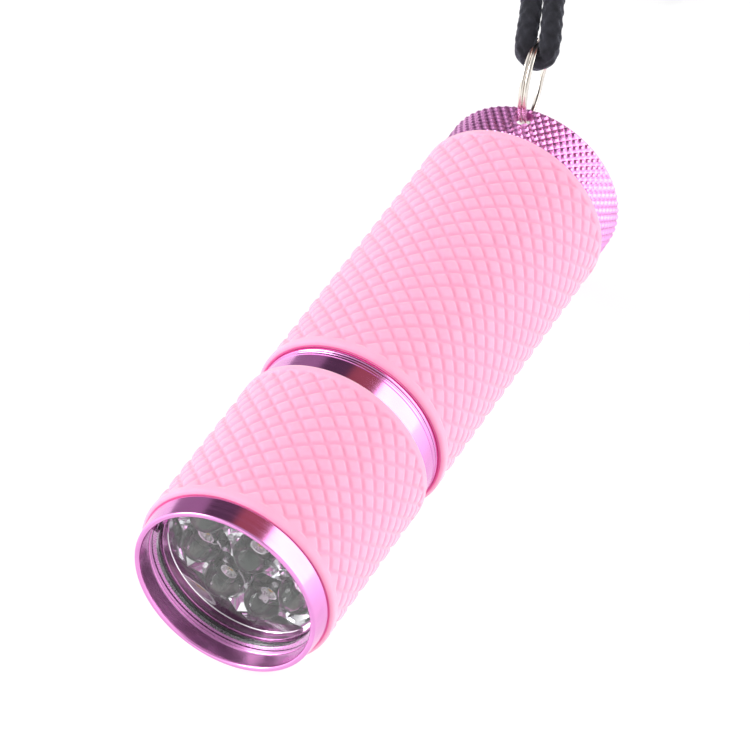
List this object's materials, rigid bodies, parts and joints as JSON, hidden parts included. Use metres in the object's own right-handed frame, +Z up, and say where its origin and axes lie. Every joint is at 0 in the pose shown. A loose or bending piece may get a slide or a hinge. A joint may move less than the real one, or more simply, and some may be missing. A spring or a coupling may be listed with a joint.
{
  "type": "uv curing lamp",
  "caption": "Pocket torch style ultraviolet curing lamp: round multi-lamp head, ribbed silicone grips on a pink tube, tail switch, split ring and wrist lanyard.",
  "frame": {"origin": "on the surface that the lamp lies on, under the middle of its length and width, measured without the ring and lanyard", "axes": "+Y along the lamp from the head to the tail, +Z up, with the lanyard hole on top"},
  "size_m": [0.0327, 0.1781, 0.0404],
  "materials": {
    "pink_silicone": "soft satin silicone rubber",
    "pink_anodised_aluminium": "bright pink anodised, polished",
    "window_polycarbonate": "clear, glossy",
    "black_rubber": "matt",
    "chromed_plastic": "vacuum metallised, bright",
    "lamp_epoxy": "clear, glossy",
    "circuit_board": "solder mask, glossy",
    "solder_tin": "tinned",
    "spring_steel": "nickel plated spring wire",
    "black_moulding": "moulded, fine grain",
    "brass_contact": "plated, bright",
    "cell_jacket": "printed foil jacket, glossy",
    "boot_rubber": "soft translucent rubber",
    "bright_nickel": "bright nickel plate",
    "black_cord": "braided nylon",
    "tie_band": "matt"
  },
  "bodies": {
    "barrel": {"barrel": "pink_anodised_aluminium", "rear_grip_sleeve": "pink_silicone", "head_o_ring": "black_rubber"},
    "led_module": {"led_reflector": "chromed_plastic", "led_board": "circuit_board", "uv_leds": "lamp_epoxy", "led_leads": "solder_tin", "front_contact_spring": "spring_steel"},
    "head": {"head_shell": "pink_anodised_aluminium", "front_grip_sleeve": "pink_silicone", "lens": "window_polycarbonate", "lens_gasket": "black_rubber", "lens_snap_ring": "spring_steel"},
    "cartridge": {"cartridge_frame": "black_moulding", "cartridge_front_board": "circuit_board", "cartridge_rear_board": "circuit_board", "cartridge_front_button": "brass_contact", "cartridge_rear_contact": "brass_contact", "cell_1": "cell_jacket", "cell_2": "cell_jacket", "cell_3": "cell_jacket", "cell_contact_tabs": "spring_steel", "cell_contact_springs": "spring_steel"},
    "tail_contact": {"tail_contact_spring": "spring_steel", "tail_contact_plate": "brass_contact"},
    "tail_cap": {"tail_cap": "pink_anodised_aluminium", "tail_o_ring": "black_rubber", "switch_body": "black_moulding", "switch_retaining_ring": "brass_contact", "switch_boot_rim": "boot_rubber"},
    "switch_button": {"switch_boot_dome": "boot_rubber", "switch_plunger": "black_moulding"},
    "lanyard": {"split_ring": "bright_nickel", "lanyard_cord": "black_cord", "lanyard_hank": "black_cord", "hank_tie": "tie_band"}
  },
  "joints": [
    {"name": "head_travel", "type": "slide", "parent": "barrel", "child": "led_module", "axis": [0, -1, 0], "range_m": [0, 0.004]},
    {"name": "head_turn", "type": "hinge", "parent": "led_module", "child": "head", "pos_m": [0, 0, 0.0131], "axis": [0, -1, 0], "range_deg": [0, 1440]},
    {"name": "cartridge_pull", "type": "slide", "parent": "barrel", "child": "cartridge", "axis": [0, 1, 0], "range_m": [0, 0.058]},
    {"name": "cap_travel", "type": "slide", "parent": "cartridge", "child": "tail_contact", "axis": [0, 1, 0], "range_m": [0, 0.004]},
    {"name": "cap_turn", "type": "hinge", "parent": "tail_contact", "child": "tail_cap", "pos_m": [0, 0, 0.0131], "axis": [0, 1, 0], "range_deg": [0, 1440]},
    {"name": "switch_press", "type": "slide", "parent": "tail_cap", "child": "switch_button", "axis": [0, -1, 0], "range_m": [0, 0.0012], "stiffness_N_per_m": 1500},
    {"name": "ring_swing", "type": "hinge", "parent": "tail_cap", "child": "lanyard", "pos_m": [-0.0006, 0.04035, 0.0257], "axis": [0, 0, 1], "range_deg": [-40, 25]}
  ],
  "couplings": [
    {"joint": "head_turn", "follows": "head_travel", "rad_per_m": 6283.2},
    {"joint": "cap_turn", "follows": "cap_travel", "rad_per_m": 6283.2}
  ]
}
